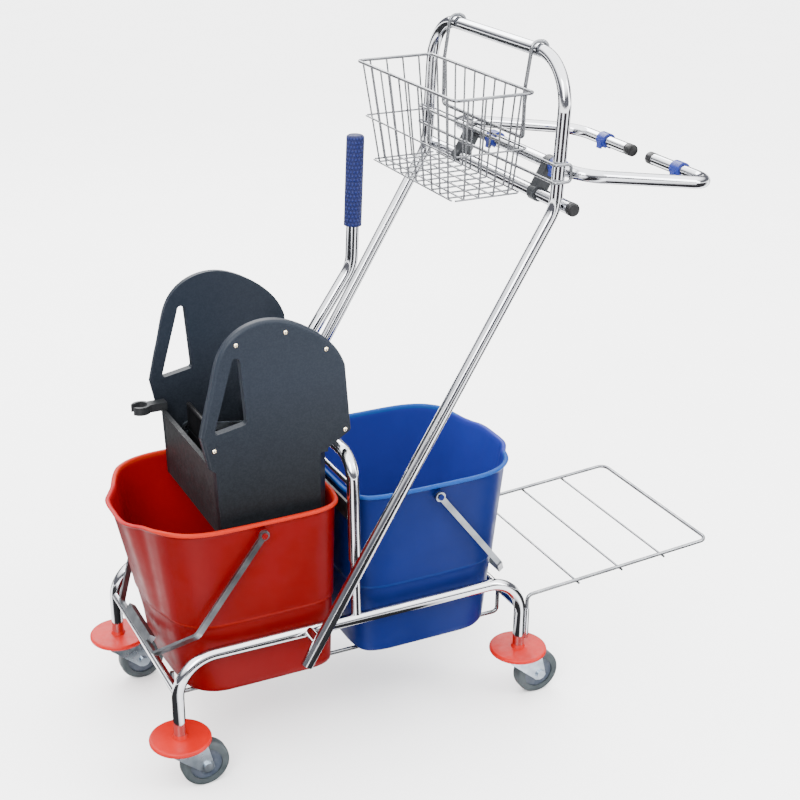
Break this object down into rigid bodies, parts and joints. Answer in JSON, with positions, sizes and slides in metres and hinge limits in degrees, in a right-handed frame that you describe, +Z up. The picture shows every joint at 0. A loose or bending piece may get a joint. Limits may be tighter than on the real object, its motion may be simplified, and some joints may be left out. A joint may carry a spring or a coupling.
{
  "type": "double bucket mop trolley with wringer",
  "caption": "Tube-framed mop trolley on castors with a red and a blue bucket, a lever press wringer, a wire basket, a folding bag ring and a plug-in wire rack.",
  "frame": {"origin": "on the floor under the middle of the bounding box", "axes": "X along the trolley from the red bucket to the wire rack, Y across it, Z up"},
  "size_m": [1.0632, 0.472, 1.1379],
  "materials": {
    "aluminium": "satin",
    "black": "satin",
    "blue": "semi-gloss",
    "charcoal": "satin",
    "chrome": "polished",
    "clip": "semi-gloss",
    "grey": "satin",
    "grip": "matt",
    "orange": "satin",
    "red": "semi-gloss",
    "slate": "satin",
    "tread": "matt",
    "zinc": "satin"
  },
  "bodies": {
    "trolley": {"bumper_disc_front_far": "orange", "bumper_disc_front_near": "orange", "bumper_disc_rear_far": "orange", "bumper_disc_rear_near": "orange", "cradle_rod_far": "chrome", "cradle_rod_near": "chrome", "cross_bar_front": "chrome", "cross_bar_rear": "chrome", "cross_tube": "chrome", "handle_bracket_far": "chrome", "handle_bracket_near": "chrome", "handle_hoop": "chrome", "hoop_crossbar": "chrome", "hoop_plate": "black", "post_stub_far": "chrome", "post_stub_near": "chrome", "rack_sleeve_far": "chrome", "rack_sleeve_near": "chrome", "ring_bracket_far": "grey", "ring_bracket_near": "grey", "side_rail_far": "chrome", "side_rail_near": "chrome", "stay_wire": "chrome", "tube_cap_far": "black", "tube_cap_near": "black", "wringer_hoop": "chrome"},
    "castor_front_near": {"castor_fork_front_near": "zinc"},
    "wheel_front_near": {"castor_wheel_front_near": "tread"},
    "castor_front_far": {"castor_fork_front_far": "zinc"},
    "wheel_front_far": {"castor_wheel_front_far": "tread"},
    "castor_rear_near": {"castor_fork_rear_near": "zinc"},
    "wheel_rear_near": {"castor_wheel_rear_near": "tread"},
    "castor_rear_far": {"castor_fork_rear_far": "zinc"},
    "wheel_rear_far": {"castor_wheel_rear_far": "tread"},
    "red_bucket": {"bucket_red": "red"},
    "blue_bucket": {"bucket_blue": "blue"},
    "red_bail": {"bail_red": "aluminium"},
    "blue_bail": {"bail_blue": "aluminium"},
    "wringer": {"wringer_plate_near": "slate", "wringer_plate_far": "slate", "wringer_box": "charcoal", "mop_clip": "charcoal"},
    "jaw": {"wringer_jaw": "black"},
    "lever": {"wringer_lever": "chrome", "lever_grip": "grip"},
    "link_n": {"link_near": "zinc"},
    "link_f": {"link_far": "zinc"},
    "basket": {"basket_floor": "chrome", "basket_hanger": "chrome", "basket_rim": "chrome", "basket_side_far": "chrome", "basket_side_front": "chrome", "basket_side_near": "chrome", "basket_side_rear": "chrome"},
    "rack": {"wire_rack": "chrome"},
    "bag_holder": {"bag_ring": "chrome", "ring_clip_a": "clip", "ring_clip_b": "clip", "ring_clip_c": "clip", "ring_clip_d": "clip"}
  },
  "joints": [
    {"name": "swivel_front_near", "type": "hinge", "parent": "trolley", "child": "castor_front_near", "pos_m": [-0.48163, -0.169, 0.09], "axis": [0, 0, 1], "continuous": true},
    {"name": "spin_front_near", "type": "hinge", "parent": "castor_front_near", "child": "wheel_front_near", "pos_m": [-0.44362, -0.169, 0.04], "axis": [0, 1, 0], "continuous": true},
    {"name": "swivel_front_far", "type": "hinge", "parent": "trolley", "child": "castor_front_far", "pos_m": [-0.48163, 0.169, 0.09], "axis": [0, 0, 1], "continuous": true},
    {"name": "spin_front_far", "type": "hinge", "parent": "castor_front_far", "child": "wheel_front_far", "pos_m": [-0.44362, 0.169, 0.04], "axis": [0, 1, 0], "continuous": true},
    {"name": "swivel_rear_near", "type": "hinge", "parent": "trolley", "child": "castor_rear_near", "pos_m": [0.13737, -0.169, 0.09], "axis": [0, 0, 1], "continuous": true},
    {"name": "spin_rear_near", "type": "hinge", "parent": "castor_rear_near", "child": "wheel_rear_near", "pos_m": [0.17538, -0.169, 0.04], "axis": [0, 1, 0], "continuous": true},
    {"name": "swivel_rear_far", "type": "hinge", "parent": "trolley", "child": "castor_rear_far", "pos_m": [0.13737, 0.169, 0.09], "axis": [0, 0, 1], "continuous": true},
    {"name": "spin_rear_far", "type": "hinge", "parent": "castor_rear_far", "child": "wheel_rear_far", "pos_m": [0.17538, 0.169, 0.04], "axis": [0, 1, 0], "continuous": true},
    {"name": "red_bucket_lift", "type": "slide", "parent": "trolley", "child": "red_bucket", "axis": [0, 0, 1], "range_m": [0, 0.055]},
    {"name": "blue_bucket_lift", "type": "slide", "parent": "trolley", "child": "blue_bucket", "axis": [0, 0, 1], "range_m": [0, 0.055]},
    {"name": "red_bail_swing", "type": "hinge", "parent": "red_bucket", "child": "red_bail", "pos_m": [-0.32762, 0, 0.424], "axis": [0, 1, 0], "range_deg": [0, 115]},
    {"name": "blue_bail_swing", "type": "hinge", "parent": "blue_bucket", "child": "blue_bail", "pos_m": [-0.02063, 0, 0.424], "axis": [0, -1, 0], "range_deg": [0, 140]},
    {"name": "wringer_lift", "type": "slide", "parent": "trolley", "child": "wringer", "axis": [0, 0, 1], "range_m": [0, 0.12]},
    {"name": "lever_pull", "type": "hinge", "parent": "wringer", "child": "lever", "pos_m": [-0.24063, 0, 0.516], "axis": [0, -1, 0], "range_deg": [0, 50]},
    {"name": "jaw_swing", "type": "hinge", "parent": "wringer", "child": "jaw", "pos_m": [-0.35363, 0, 0.43], "axis": [0, 1, 0], "range_deg": [0, 19.3]},
    {"name": "link_near_turn", "type": "hinge", "parent": "lever", "child": "link_n", "pos_m": [-0.24583, -0.1025, 0.48646], "axis": [0, 1, 0], "range_deg": [0, 46]},
    {"name": "link_far_turn", "type": "hinge", "parent": "lever", "child": "link_f", "pos_m": [-0.24583, 0.1025, 0.48646], "axis": [0, 1, 0], "range_deg": [0, 46]},
    {"name": "basket_lift", "type": "slide", "parent": "trolley", "child": "basket", "axis": [0, 0, 1], "range_m": [0, 0.06]},
    {"name": "rack_pull", "type": "slide", "parent": "trolley", "child": "rack", "axis": [0, 0, 1], "range_m": [0, 0.06]},
    {"name": "ring_fold", "type": "hinge", "parent": "trolley", "child": "bag_holder", "pos_m": [0.18338, 0, 0.943], "axis": [0, -1, 0], "range_deg": [0, 95]}
  ],
  "couplings": [
    {"joint": "jaw_swing", "follows": "lever_pull", "ratio": 0.3825},
    {"joint": "link_near_turn", "follows": "lever_pull", "ratio": 0.9157},
    {"joint": "link_far_turn", "follows": "lever_pull", "ratio": 0.9157}
  ]
}
